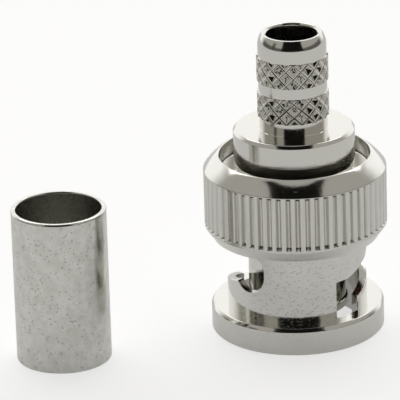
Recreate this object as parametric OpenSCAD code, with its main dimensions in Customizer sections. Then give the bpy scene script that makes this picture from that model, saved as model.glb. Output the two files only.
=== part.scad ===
// Bayonet coaxial plug for crimping to a cable, with its loose crimp ferrule.
//
// The plug stands on the front face of its coupling nut, at z = 0, with the cable end up (+Z).
// The ferrule stands beside it, because it goes on last, over the braid and the knurled stem.
// Front is -Y. Angles round the axis are measured from the front, towards +X.
// Nut, thrust washer and plug body are three moving groups: the nut turns on the thrust washer,
// and the body can be pulled back against the two wave washers.

/* [Coupling nut] */
// Height of the coupling nut, front face to rear rim
nut_length = 14.6; // [14:0.1:16]
// Diameter over the knurled grip
grip_d = 14.5; // [14.2:0.1:16]
// Height of the knurled grip, between its two bevels
grip_length = 4.62; // [4:0.02:4.8]
// Drop of the rear bevel, from the rim to the grip
rear_bevel_h = 1.14; // [0.9:0.02:1.3]
// Width of the flat lip round the rear opening
rear_lip_w = 0.12; // [0.08:0.02:0.3]
// Swell of the rear bevel beyond a straight cone
rear_bevel_swell = 0.07; // [0.04:0.01:0.12]
// Drop of the bevel under the grip
front_bevel_h = 0.92; // [0.6:0.02:1.0]
// Radial run of the bevel under the grip
front_bevel_w = 0.62; // [0.5:0.02:0.8]
// Diameter of the sleeve that carries the bayonet slots
sleeve_d = 11.1; // [11:0.05:11.6]
// Diameter of the front flange
flange_d = 13.75; // [13:0.05:14.5]
// Thickness of the front flange
flange_t = 2.27; // [1.8:0.05:2.6]
// Bore that slides over the mating jack
nut_bore_d = 9.86; // [9.8:0.02:10]
// Diameter of the open recess behind the nut's inner web
recess_d = 11.98; // [11.6:0.02:12.3]
// Depth of that recess
recess_depth = 1.43; // [1.2:0.02:1.6]
// Thickness of the inner web that pulls the plug on to the jack
web_t = 0.65; // [0.5:0.05:0.9]

/* [Bayonet slots] */
// Angle of the middle of the right slot's entry from the front
entry_angle = 44.9; // [40:0.5:50]
// Width of a slot at its entry, measured round the sleeve
slot_w = 2.38; // [2.2:0.02:2.6]
// Depth of the entry grooves inside the flange, below the sleeve's skin
groove_depth = 0.07; // [0.04:0.01:0.15]
// Height of the slot's rear edge above the entry
entry_top = 5.25; // [5:0.05:5.6]
// Climb of the rear edge in a quarter turn
rear_climb = 2.55; // [2.2:0.05:2.8]
// Height at which the ramp leaves the entry
ramp_start = 3.36; // [3.2:0.02:3.5]
// Climb of the ramp in a quarter turn
ramp_climb = 2.3; // [2:0.05:2.5]
// Angle from the entry to the deepest point of the detent
detent_turn = 89.1; // [86:0.1:92]
// Radius of the round detent
detent_r = 1.56; // [1.45:0.01:1.65]
// Height of the bottom of the detent
detent_floor = 4.37; // [4.2:0.01:4.5]
// Radius of the slot's closed rear corner
rear_corner_r = 1.1; // [0.8:0.05:1.3]
// Height of the slot's rear edge at its highest
slot_top = 7.55; // [7.3:0.05:7.7]

/* [Straight knurl] */
// Number of grooves round the grip
groove_count = 60; // [48:4:72]
// Depth of a groove
groove_h = 0.28; // [0.15:0.01:0.35]
// Share of the pitch that stays as the flat top of a ridge
ridge_share = 0.44; // [0.3:0.01:0.6]
// Width of a groove at its floor
groove_floor_w = 0.13; // [0.05:0.01:0.2]
// Plain land between the grooves and the rear bevel
rear_land = 0.06; // [0.02:0.01:0.2]
// Plain land between the grooves and the front bevel
front_land = 0.2; // [0.05:0.01:0.3]

/* [Washers and gasket] */
// Thickness of the flat thrust washer
thrust_t = 0.25; // [0.2:0.05:0.35]
// Thickness of the strip of each wave washer
wave_t = 0.18; // [0.12:0.02:0.2]
// Free height of each wave washer, crest to crest
wave_h = 0.5; // [0.45:0.05:0.6]
// Number of waves round each wave washer
wave_count = 3; // [3:1:4]
// Thickness of the sealing gasket
gasket_t = 0.8; // [0.6:0.05:1]
// Radial width of the sealing gasket
gasket_w = 0.68; // [0.6:0.02:0.7]
// Radial width of the washers
washer_w = 0.55; // [0.45:0.01:0.6]

/* [Front body] */
// Diameter of the slotted contact fingers
finger_d = 7.7; // [7.5:0.05:7.8]
// Wall of the contact fingers
finger_t = 0.4; // [0.3:0.02:0.5]
// Diameter over the bead at the tips of the fingers
bead_d = 8.06; // [7.9:0.02:8.2]
// Height of that bead
bead_h = 0.6; // [0.4:0.05:0.9]
// Reach of the contact in front of the flange
contact_reach = 8.75; // [8.4:0.05:9]
// Depth of the open space inside the contact
contact_depth = 5.5; // [5:0.1:6]
// Number of saw cuts that part the contact into fingers
finger_cuts = 4; // [4:2:6]
// Width of a saw cut
finger_cut_w = 0.45; // [0.3:0.05:0.6]
// Length of the saw cuts
finger_cut_l = 5; // [4:0.1:5.4]
// Length of that seat
seat_l = 1.7; // [1.3:0.1:2]
// Thickness of the flange that the washers press on
body_flange_t = 0.6; // [0.4:0.05:0.8]
// Diameter of the tail that is pressed into the rear body
tail_d = 6.8; // [6.4:0.05:7.2]
// Length of that tail
tail_l = 2; // [1.6:0.1:2.2]

/* [Rear body] */
// Diameter of the shoulder behind the nut
shoulder_d = 9.62; // [9.4:0.02:10]
// Height of the shoulder
shoulder_h = 2.91; // [2.7:0.01:3.3]
// Height of the chamfer on the shoulder's rear edge
shoulder_chamfer_h = 0.25; // [0.1:0.01:0.4]
// Radial run of that chamfer
shoulder_chamfer_w = 0.22; // [0.1:0.01:0.4]
// Radial step of the relief in front of the shoulder
relief_w = 0.12; // [0.05:0.01:0.3]
// Height of that relief
relief_h = 0.35; // [0.2:0.05:0.5]
// Diameter of the foot that stops against the nut's web
foot_d = 8.9; // [8.8:0.02:9.1]
// Height of that foot
foot_h = 0.4; // [0.3:0.05:0.6]
// Diameter of the crimp stem
stem_d = 5.42; // [5.2:0.02:5.6]
// Length of the crimp stem behind the shoulder
stem_l = 7.83; // [7:0.05:9]
// Diameter of the bore for the cable's dielectric
stem_bore_d = 4.05; // [3.8:0.05:4.2]
// Length of that bore
stem_bore_l = 9; // [8.6:0.05:9.4]
// Length of the tapered nose at the end of the stem
nose_l = 0.82; // [0.6:0.02:1]
// Diameter of the flat end of that nose
nose_d = 4.76; // [4.6:0.02:4.9]
// Swell of the nose beyond a straight cone
nose_swell = 0.05; // [0.02:0.01:0.08]
// Chamfer at the mouth of the bore
mouth_chamfer = 0.14; // [0.05:0.01:0.2]

/* [Diamond knurl] */
// Diameter over the ribs of the two knurled bands
band_d = 5.66; // [5.5:0.02:5.8]
// Height of the first band, nearest the cable end
band_1_h = 2.01; // [1.6:0.01:2.4]
// Height of the second band
band_2_h = 2.05; // [1.6:0.01:2.4]
// Plain length of stem between the nose and the first band
band_1_gap = 1.02; // [0.8:0.02:1.2]
// Plain length of stem between the two bands
band_2_gap = 0.92; // [0.7:0.02:1.1]
// Number of diamond pits in one row round the stem
pit_count = 15; // [12:1:18]
// Axial pitch of the rows of one phase
pit_pitch = 1.17; // [1:0.01:1.4]
// Place of the first row of pits above the first band's top edge
band_1_phase = 0.05; // [-0.2:0.01:0.2]
// Place of the first row of pits above the second band's top edge
band_2_phase = -0.27; // [-0.3:0.01:0.2]
// Depth of the diamond pits
pit_h = 0.3; // [0.15:0.01:0.35]
// Width left as a rib between two pits
rib_w = 0.07; // [0.04:0.01:0.15]

/* [Pin and insulators] */
// Diameter of the centre pin
pin_d = 1.35; // [1.3:0.01:1.4]
// Distance of the pin's tip behind the tips of the fingers
pin_recess = 0.4; // [0.2:0.05:0.8]
// Diameter of the pin's rear barrel
barrel_d = 2; // [1.8:0.05:2.2]
// Diameter of the cup for the cable's inner conductor
cup_d = 1.1; // [0.9:0.05:1.2]
// Depth of that cup
cup_depth = 3.4; // [2.5:0.1:4]
// Diameter of the collar that holds the pin between the insulators
pin_collar_d = 2.66; // [2.5:0.02:2.9]
// Height of that collar
pin_collar_h = 0.56; // [0.4:0.02:0.8]
// Thickness of the disc at the front of the front insulator
disc_t = 2.5; // [2:0.1:3]
// Diameter of the insulators behind that disc
insulator_d = 5.16; // [5:0.02:5.3]
// Length of the rear insulator
rear_insulator_l = 2.3; // [2:0.1:2.6]

/* [Crimp ferrule] */
// Outer diameter of the ferrule
ferrule_d = 7.5; // [7.3:0.05:8]
// Wall of the ferrule
ferrule_t = 0.38; // [0.3:0.02:0.5]
// Length of the ferrule
ferrule_l = 12.58; // [11:0.1:14]
// Radius of its rounded outer edges
ferrule_edge_r = 0.16; // [0.05:0.01:0.2]
// Place of the ferrule, right of the plug (minus is left)
ferrule_x = -18.66; // [-22:0.1:-13]
// Place of the ferrule, behind the plug (minus is in front)
ferrule_y = -5.19; // [-8:0.1:8]

/* [Fits] */
// Radial gap of the body's flange and the washers in the nut's bore
bore_gap = 0.18; // [0.1:0.01:0.25]
// Radial gap of the neck in the nut's web
neck_gap = 0.1; // [0.05:0.01:0.15]
// Axial gap between faces of moving groups
face_gap = 0.03; // [0.02:0.01:0.08]
// Gap between pieces of one group
fit_gap = 0.02; // [0.01:0.01:0.03]

/* [Hidden] */
$fn = 96;
cut = 1;                  // how far a cutter runs past the surface that it opens
metal = [0.76, 0.76, 0.73];
gilt = [0.83, 0.66, 0.33];
ptfe = [0.93, 0.93, 0.9];
silicone = [0.72, 0.33, 0.26];
steel = [0.6, 0.6, 0.6];

// Heights of the nut's features above its front face
grip_top = nut_length - rear_bevel_h;
grip_bottom = grip_top - grip_length;
grip_under = grip_bottom - front_bevel_h;
web_rear = nut_length - recess_depth;
web_front = web_rear - web_t;

// Heights of the stack between the nut's web and the jack
thrust_rear = web_front - face_gap;
thrust_front = thrust_rear - thrust_t;
wave_middle = thrust_front - wave_h;
flange_rear = wave_middle - wave_h;
flange_front = flange_rear - body_flange_t;
gasket_front = flange_front - gasket_t;
contact_front = flange_front - contact_reach;
seat_front = flange_front - seat_l;
contact_floor = contact_front + contact_depth;

// Heights of the rear body
foot_front = web_rear + face_gap;
relief_front = foot_front + foot_h;
shoulder_front = relief_front + relief_h;
shoulder_rear = shoulder_front + shoulder_h;
stem_end = shoulder_rear + stem_l;
stem_bore_front = stem_end - stem_bore_l;
tail_end = foot_front + tail_l;
band_1_top = stem_end - nose_l - band_1_gap;
band_1_bottom = band_1_top - band_1_h;
band_2_top = band_1_bottom - band_2_gap;
band_2_bottom = band_2_top - band_2_h;

// Radii
grip_r = grip_d / 2;
sleeve_r = sleeve_d / 2;
flange_r = flange_d / 2;
nut_bore_r = nut_bore_d / 2;
recess_r = recess_d / 2;
washer_r = nut_bore_r - bore_gap;
seat_r = washer_r - gasket_w - fit_gap;
web_bore_r = washer_r - washer_w;
neck_r = web_bore_r - neck_gap;
finger_r = finger_d / 2;
contact_bore_r = finger_r - finger_t;
insulator_r = insulator_d / 2;
tail_bore_r = insulator_r + fit_gap;
band_r = band_d / 2;
band_core_r = band_r - pit_h - 0.1;

// Heights of the insulators and the pin's collar
disc_rear = contact_floor + disc_t;
rear_insulator_rear = tail_end;
rear_insulator_front = rear_insulator_rear - rear_insulator_l;
pin_collar_rear = rear_insulator_front - fit_gap;
pin_front = contact_front + pin_recess;
barrel_front = contact_floor + disc_t / 3;
barrel_rear = rear_insulator_rear - 2 * fit_gap;

// ---------------------------------------------------------------- helpers

// A ring with a plain rectangular section
module ring(r_out, r_in, z0, z1) {
    translate([0, 0, z0])
        difference() {
            cylinder(r = r_out, h = z1 - z0);
            translate([0, 0, -cut])
                cylinder(r = r_in, h = z1 - z0 + 2 * cut);
        }
}

// A solid turned from a list of [radius, height] points
module turned(points) {
    rotate_extrude()
        polygon(points);
}

// Radius of the arc that swells by the given height over a chord
function swell_radius(chord, swell) = chord * chord / (8 * swell) + swell / 2;

// Half plane to the left of the arc from a to b, which bulges to the right of that line
module arc_side(a, b, swell) {
    chord = norm(b - a);
    r = swell_radius(chord, swell);
    along = (b - a) / chord;
    inward = [-along[1], along[0]];
    centre = (a + b) / 2 + inward * (r - swell);
    translate(centre)
        circle(r = r);
}

// ---------------------------------------------------------------- coupling nut

slot_half_angle = slot_w / 2 / sleeve_r * 180 / PI;
entry_left = entry_angle - slot_half_angle;
entry_right = entry_angle + slot_half_angle;
mm_per_degree = sleeve_r * PI / 180;
detent_angle = entry_angle + detent_turn;
detent_centre_z = detent_floor + detent_r;
slot_end_angle = detent_angle + detent_r / mm_per_degree;
corner_angle = slot_end_angle - rear_corner_r / mm_per_degree;
corner_centre_z = detent_centre_z + rear_corner_r * 0.4;
hump_angle = detent_angle - 14.5;
edge_rounding = 0.12;
entry_step = 0.03;
wall_fade = 12;
slot_steps = 48;
cutter_in_r = nut_bore_r - 0.3;
cutter_out_r = sleeve_r + 0.7;

// The smaller of two heights, with the corner between them rounded
function soft_min(p, q) = (p + q - sqrt(pow(p - q, 2) + pow(edge_rounding, 2))) / 2;

// Height of a circle's lower side at angle a, or of its centre outside it
function round_floor(a, a0, z0, r) =
    z0 - sqrt(max(0, r * r - pow((a - a0) * mm_per_degree, 2)));

function ramp_z(a) = ramp_start + ramp_climb / 90 * (a - entry_right);

// Front edge of the slot at angle a: the ramp, the hump and the detent
function front_edge(a) =
    a > detent_angle
        ? round_floor(a, detent_angle, detent_centre_z, detent_r)
        : soft_min(ramp_z(a), round_floor(a, detent_angle, detent_centre_z, detent_r)
                              + (a < detent_angle - detent_r / mm_per_degree ? 1 : 0));

// Rear edge of the slot at angle a
function rear_edge(a) =
    let (climb = min(slot_top, entry_top + rear_climb / 90 * max(0, a - entry_angle)))
    a > corner_angle
        ? min(climb, 2 * corner_centre_z - round_floor(a, corner_angle, corner_centre_z, rear_corner_r))
        : climb;

// Angle between a wall and the milling cutter's axis: the walls of the entry and of the detent
// are parallel to that axis, and the ones between them are radial
function off_axis(a) =
    a <= entry_right ? a - entry_angle
    : a < entry_right + wall_fade ? slot_half_angle * (1 - (a - entry_right) / wall_fade)
    : a < hump_angle - wall_fade ? 0
    : a < hump_angle ? (hump_angle - detent_angle) * (a - hump_angle + wall_fade) / wall_fade
    : a - detent_angle;

function on_wall(a, r, z) =
    let (b = a - off_axis(a) + asin(sleeve_r * sin(off_axis(a)) / r))
    [r * sin(b), -r * cos(b), z];

// Cutter of one slot above the flange, from inside the bore to outside the sleeve
module slot_cutter() {
    corner = 0.3;
    n = slot_steps;
    ramp_left = entry_right + corner;
    angles = concat([entry_left, entry_left + 2, entry_right - 2, entry_right],
                    [for (i = [0:n]) ramp_left + (slot_end_angle - ramp_left) * i / n]);
    last = len(angles) - 1;
    points = [for (a = angles)
        let (front = a <= entry_right ? flange_t + entry_step : front_edge(a), rear = rear_edge(a))
        each [on_wall(a, cutter_in_r, front),
              on_wall(a, cutter_in_r, rear),
              on_wall(a, cutter_out_r, rear),
              on_wall(a, cutter_out_r, front)]];
    sides = [for (i = [0:last - 1], k = [0:3])
        let (p = 4 * i + k, q = 4 * i + (k + 1) % 4)
        each [[p, p + 4, q + 4], [p, q + 4, q]]];
    ends = [[0, 1, 2, 3], [4 * last + 3, 4 * last + 2, 4 * last + 1, 4 * last]];
    polyhedron(points, concat(sides, ends));
}

// The entry goes on through the flange as a groove inside it
module entry_groove() {
    groove_w = 2 * sleeve_r * sin(slot_half_angle) - entry_step;
    height = flange_t + cut + 5 * entry_step;
    rotate([0, 0, entry_angle - 90])
        translate([0, 0, -cut])
            intersection() {
                cylinder(r = sleeve_r + groove_depth, h = height);
                translate([cutter_in_r - 0.5, -groove_w / 2, 0])
                    cube([sleeve_r, groove_w, height]);
            }
}

module bayonet_slots() {
    for (turn = [0, 180])
        rotate([0, 0, turn]) {
            entry_groove();
            slot_cutter();
        }
}

// Outline of the knurled grip, seen along the axis: ridges between trapezoid grooves
module grip_outline() {
    pitch = 360 / groove_count;
    top_half = pitch * (1 - ridge_share) / 2;
    floor_half = groove_floor_w / 2 / grip_r * 180 / PI;
    crest = grip_r + 0.3;
    reach = top_half + (top_half - floor_half) * 0.3 / groove_h;
    polygon([for (i = [0:groove_count - 1])
        let (a = i * pitch)
        each [[crest * cos(a - reach), crest * sin(a - reach)],
              [(grip_r - groove_h) * cos(a - floor_half), (grip_r - groove_h) * sin(a - floor_half)],
              [(grip_r - groove_h) * cos(a + floor_half), (grip_r - groove_h) * sin(a + floor_half)],
              [crest * cos(a + reach), crest * sin(a + reach)]]]);
}

// The grooves as solids, with 45 degree ends
module grip_grooves() {
    top = grip_top - rear_land;
    bottom = grip_bottom + front_land;
    over = 0.2;
    difference() {
        turned([[grip_r - groove_h - over, bottom + groove_h + over],
                [grip_r - groove_h - over, top - groove_h - over],
                [grip_r + over, top + over],
                [grip_r + over, bottom - over]]);
        translate([0, 0, grip_bottom - cut])
            linear_extrude(height = grip_length + 2 * cut)
                grip_outline();
    }
}

// Section of the nut without its slots and knurl
module nut_section() {
    flange_chamfer_w = 0.17;
    flange_chamfer_h = 0.28;
    foot_chamfer = 0.18;
    under_chamfer = 0.06;
    under_r = grip_r - front_bevel_w;
    rim_r = recess_r + rear_lip_w;
    floor_fillet = 0.12;
    difference() {
        intersection() {
            polygon([[nut_bore_r, 0],
                     [flange_r - foot_chamfer, 0],
                     [flange_r, foot_chamfer],
                     [flange_r, flange_t - flange_chamfer_h],
                     [flange_r - flange_chamfer_w, flange_t],
                     [sleeve_r, flange_t],
                     [sleeve_r, grip_under],
                     [under_r - under_chamfer, grip_under],
                     [under_r, grip_under + under_chamfer],
                     [grip_r, grip_bottom],
                     [grip_r, grip_top],
                     [grip_r + 2, grip_top + 0.001],
                     [grip_r + 2, nut_length],
                     [web_bore_r, nut_length],
                     [web_bore_r, web_front],
                     [nut_bore_r, web_front]]);
            union() {
                arc_side([grip_r, grip_top], [rim_r, nut_length], rear_bevel_swell);
                square([grip_r + cut, grip_top]);
                square([rim_r, nut_length]);
            }
        }
        translate([0, web_rear + floor_fillet])
            square([recess_r, recess_depth]);
        translate([0, web_rear])
            square([recess_r - floor_fillet, recess_depth]);
        translate([recess_r - floor_fillet, web_rear + floor_fillet])
            circle(r = floor_fillet);
    }
}

module coupling_nut() {
    color(metal)
        difference() {
            rotate_extrude()
                nut_section();
            bayonet_slots();
            grip_grooves();
        }
}

// ---------------------------------------------------------------- plug body

module front_body() {
    tip_round = 0.15;
    color(metal)
        difference() {
            turned([[contact_bore_r, contact_front],
                    [bead_d / 2 - tip_round, contact_front],
                    [bead_d / 2, contact_front + tip_round],
                    [bead_d / 2, contact_front + bead_h],
                    [finger_r, contact_front + bead_h + bead_d / 2 - finger_r],
                    [finger_r, seat_front - (seat_r - finger_r)],
                    [seat_r, seat_front],
                    [seat_r, flange_front],
                    [washer_r, flange_front],
                    [washer_r, flange_rear],
                    [neck_r, flange_rear],
                    [neck_r, foot_front - fit_gap],
                    [tail_d / 2, foot_front - fit_gap],
                    [tail_d / 2, tail_end],
                    [tail_bore_r, tail_end],
                    [tail_bore_r, disc_rear + fit_gap],
                    [contact_bore_r, disc_rear + fit_gap]]);
            for (i = [0:finger_cuts / 2 - 1])
                rotate([0, 0, i * 360 / finger_cuts])
                    translate([-grip_r, -finger_cut_w / 2, contact_front - cut])
                        cube([2 * grip_r, finger_cut_w, finger_cut_l + cut]);
        }
}

// One diamond pit: a pyramid pointing at the axis, with its rim just outside the band
module pit(angle, z) {
    over = 0.02;
    half_w = band_r * PI / pit_count - rib_w / sqrt(2);
    half_h = pit_pitch / 2 - rib_w / sqrt(2);
    grow = (pit_h + over) / pit_h;
    r0 = band_r - pit_h;
    r1 = band_r + over;
    rotate([0, 0, angle])
        polyhedron([[0, -r0, z],
                    [half_w * grow, -r1, z],
                    [0, -r1, z + half_h * grow],
                    [-half_w * grow, -r1, z],
                    [0, -r1, z - half_h * grow]],
                   [[0, 1, 2], [0, 2, 3], [0, 3, 4], [0, 4, 1], [4, 3, 2, 1]]);
}

// A knurled band: a ring cut by rows of pits of alternate phase, down from its top edge
module knurled_band(top, height, first_row) {
    rows = ceil((height + first_row) / (pit_pitch / 2)) + 1;
    difference() {
        ring(band_r, band_core_r - 0.05, top - height, top);
        for (row = [0:rows - 1])
            for (i = [0:pit_count - 1])
                pit((i + (row % 2 == 0 ? 0.5 : 0)) * 360 / pit_count,
                    top + first_row - row * pit_pitch / 2);
    }
}

// Section of the rear body: shoulder, crimp stem, nose and bores
module rear_section() {
    stem_r = stem_d / 2;
    shoulder_r = shoulder_d / 2;
    nose_r = nose_d / 2;
    bore_r = stem_bore_d / 2;
    intersection() {
        polygon([[tail_d / 2 + fit_gap, foot_front],
                 [foot_d / 2, foot_front],
                 [foot_d / 2, relief_front],
                 [shoulder_r - relief_w, relief_front],
                 [shoulder_r - relief_w, shoulder_front - 0.05],
                 [shoulder_r - 0.05, shoulder_front],
                 [shoulder_r, shoulder_front + 0.05],
                 [shoulder_r, shoulder_rear - shoulder_chamfer_h],
                 [shoulder_r - shoulder_chamfer_w, shoulder_rear],
                 [stem_r, shoulder_rear],
                 [stem_r, band_2_bottom],
                 [band_core_r, band_2_bottom],
                 [band_core_r, band_2_top],
                 [stem_r, band_2_top],
                 [stem_r, band_1_bottom],
                 [band_core_r, band_1_bottom],
                 [band_core_r, band_1_top],
                 [stem_r, band_1_top],
                 [stem_r, stem_end - nose_l],
                 [stem_r + 1, stem_end - nose_l + 0.001],
                 [stem_r + 1, stem_end],
                 [bore_r + mouth_chamfer, stem_end],
                 [bore_r, stem_end - mouth_chamfer],
                 [bore_r, stem_bore_front],
                 [insulator_r, stem_bore_front],
                 [insulator_r, tail_end + fit_gap],
                 [tail_d / 2 + fit_gap, tail_end + fit_gap]]);
        union() {
            arc_side([stem_r, stem_end - nose_l], [nose_r, stem_end], nose_swell);
            square([shoulder_r + cut, stem_end - nose_l]);
        }
    }
}

module rear_body() {
    color(metal) {
        rotate_extrude()
            rear_section();
        knurled_band(band_1_top, band_1_h, band_1_phase);
        knurled_band(band_2_top, band_2_h, band_2_phase);
    }
}

// ---------------------------------------------------------------- inside the body

module front_insulator() {
    color(ptfe)
        turned([[pin_d / 2 + fit_gap, contact_floor],
                [contact_bore_r - fit_gap, contact_floor],
                [contact_bore_r - fit_gap, disc_rear],
                [insulator_r, disc_rear],
                [insulator_r, rear_insulator_front - fit_gap],
                [pin_collar_d / 2 + fit_gap, rear_insulator_front - fit_gap],
                [pin_collar_d / 2 + fit_gap, pin_collar_rear - pin_collar_h - fit_gap],
                [barrel_d / 2 + fit_gap, pin_collar_rear - pin_collar_h - fit_gap],
                [barrel_d / 2 + fit_gap, barrel_front],
                [pin_d / 2 + fit_gap, barrel_front]]);
}

module rear_insulator() {
    color(ptfe)
        ring(insulator_r, barrel_d / 2 + fit_gap, rear_insulator_front, rear_insulator_rear);
}

module centre_pin() {
    pin_r = pin_d / 2;
    nose = 0.8;
    color(gilt)
        difference() {
            turned([[0, pin_front],
                    [pin_r * 0.45, pin_front],
                    [pin_r * 0.85, pin_front + nose * 0.4],
                    [pin_r, pin_front + nose],
                    [pin_r, barrel_front + fit_gap],
                    [barrel_d / 2, barrel_front + fit_gap],
                    [barrel_d / 2, pin_collar_rear - pin_collar_h],
                    [pin_collar_d / 2, pin_collar_rear - pin_collar_h],
                    [pin_collar_d / 2, pin_collar_rear],
                    [barrel_d / 2, pin_collar_rear],
                    [barrel_d / 2, barrel_rear],
                    [0, barrel_rear]]);
            translate([0, 0, barrel_rear - cup_depth])
                cylinder(d = cup_d, h = cup_depth + cut);
        }
}

// ---------------------------------------------------------------- gasket and washers

module gasket() {
    color(silicone)
        ring(washer_r, seat_r + fit_gap, gasket_front, flange_front - fit_gap);
}

// A wave washer: a flat ring whose height follows a sine, with its crests at z0 and z1
module wave_washer(z0, z1, phase) {
    r_in = web_bore_r;
    r_out = washer_r - 0.03;
    swing = (z1 - z0 - wave_t) / 2;
    n = 72;
    points = [for (i = [0:n - 1])
        let (a = i * 360 / n, z = (z0 + z1) / 2 + swing * sin(wave_count * a + phase))
        each [[r_in * cos(a), r_in * sin(a), z - wave_t / 2],
              [r_out * cos(a), r_out * sin(a), z - wave_t / 2],
              [r_out * cos(a), r_out * sin(a), z + wave_t / 2],
              [r_in * cos(a), r_in * sin(a), z + wave_t / 2]]];
    faces = [for (i = [0:n - 1], k = [0:3])
        let (p = 4 * i + k, q = 4 * i + (k + 1) % 4, p2 = (p + 4) % (4 * n), q2 = (q + 4) % (4 * n))
        each [[p, q, q2], [p, q2, p2]]];
    polyhedron(points, faces);
}

module wave_washer_front() {
    color(steel)
        wave_washer(flange_rear + fit_gap, wave_middle, 0);
}

module wave_washer_rear() {
    color(steel)
        wave_washer(wave_middle + fit_gap, thrust_front - fit_gap, 180);
}

module thrust_washer() {
    color(steel)
        ring(washer_r, web_bore_r, thrust_front, thrust_rear);
}

// ---------------------------------------------------------------- ferrule

module crimp_ferrule() {
    r = ferrule_d / 2;
    r_in = r - ferrule_t;
    inner_chamfer = 0.08;
    color(metal)
        translate([ferrule_x, ferrule_y, 0])
            rotate_extrude()
                difference() {
                    union() {
                        translate([r_in, 0])
                            square([ferrule_t - ferrule_edge_r, ferrule_l]);
                        translate([r_in, ferrule_edge_r])
                            square([ferrule_t, ferrule_l - 2 * ferrule_edge_r]);
                        for (z = [ferrule_edge_r, ferrule_l - ferrule_edge_r])
                            translate([r - ferrule_edge_r, z])
                                circle(r = ferrule_edge_r);
                    }
                    polygon([[r_in - cut, ferrule_l + cut],
                             [r_in + inner_chamfer + cut, ferrule_l + cut],
                             [r_in, ferrule_l - inner_chamfer],
                             [r_in - cut, ferrule_l - inner_chamfer]]);
                }
}

coupling_nut();
front_body();
rear_body();
front_insulator();
rear_insulator();
centre_pin();
gasket();
wave_washer_front();
wave_washer_rear();
thrust_washer();
crimp_ferrule();
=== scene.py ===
import math
import bmesh
import bpy
import numpy as np
from mathutils import Matrix, Vector
from mathutils.geometry import delaunay_2d_cdt


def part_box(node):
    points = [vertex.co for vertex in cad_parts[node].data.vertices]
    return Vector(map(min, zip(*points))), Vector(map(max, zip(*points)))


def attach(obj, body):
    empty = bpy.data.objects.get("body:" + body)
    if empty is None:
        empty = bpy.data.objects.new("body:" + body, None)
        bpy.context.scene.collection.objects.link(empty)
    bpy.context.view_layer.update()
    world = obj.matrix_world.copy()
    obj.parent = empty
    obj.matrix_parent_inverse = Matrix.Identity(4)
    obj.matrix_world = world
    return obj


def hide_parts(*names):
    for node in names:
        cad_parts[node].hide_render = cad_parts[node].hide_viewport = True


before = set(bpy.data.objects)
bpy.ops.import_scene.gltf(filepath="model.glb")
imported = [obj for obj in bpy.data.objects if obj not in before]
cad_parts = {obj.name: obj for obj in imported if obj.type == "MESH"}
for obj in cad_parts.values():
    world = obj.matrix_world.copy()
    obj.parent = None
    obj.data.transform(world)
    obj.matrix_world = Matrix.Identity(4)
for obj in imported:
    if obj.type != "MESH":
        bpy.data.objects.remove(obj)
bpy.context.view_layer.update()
scene = bpy.context.scene
MM = 0.001

# Sizes in mm, the same as the part's own: z runs up the plug's axis from the nut's front face,
# angles are degrees from the front (-Y) towards the right (+X).
nut_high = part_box("coupling_nut")[1]
NUT_L = nut_high.z / MM
GRIP_R = nut_high.x / MM
REAR_BEVEL_H = 1.14
GRIP_L = 4.62
UNDER_BEVEL_H = 0.92
UNDER_BEVEL_W = 0.62
REAR_LAND = 0.06
FRONT_LAND = 0.2
GRIP_TOP = NUT_L - REAR_BEVEL_H
GRIP_BOTTOM = GRIP_TOP - GRIP_L
UNDER_Z = GRIP_BOTTOM - UNDER_BEVEL_H
UNDER_R = GRIP_R - UNDER_BEVEL_W
SLEEVE_R = 5.55
BORE_R = 4.93
FLANGE_R = 6.875
FLANGE_T = 2.27
RECESS_R = 5.99
RECESS_DEPTH = 1.43
LIP_W = 0.12
WEB_T = 0.65
WEB_REAR = NUT_L - RECESS_DEPTH
WEB_FRONT = WEB_REAR - WEB_T
WEB_BORE_R = 4.2

# ---------------------------------------------------------------- mesh helpers


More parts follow.
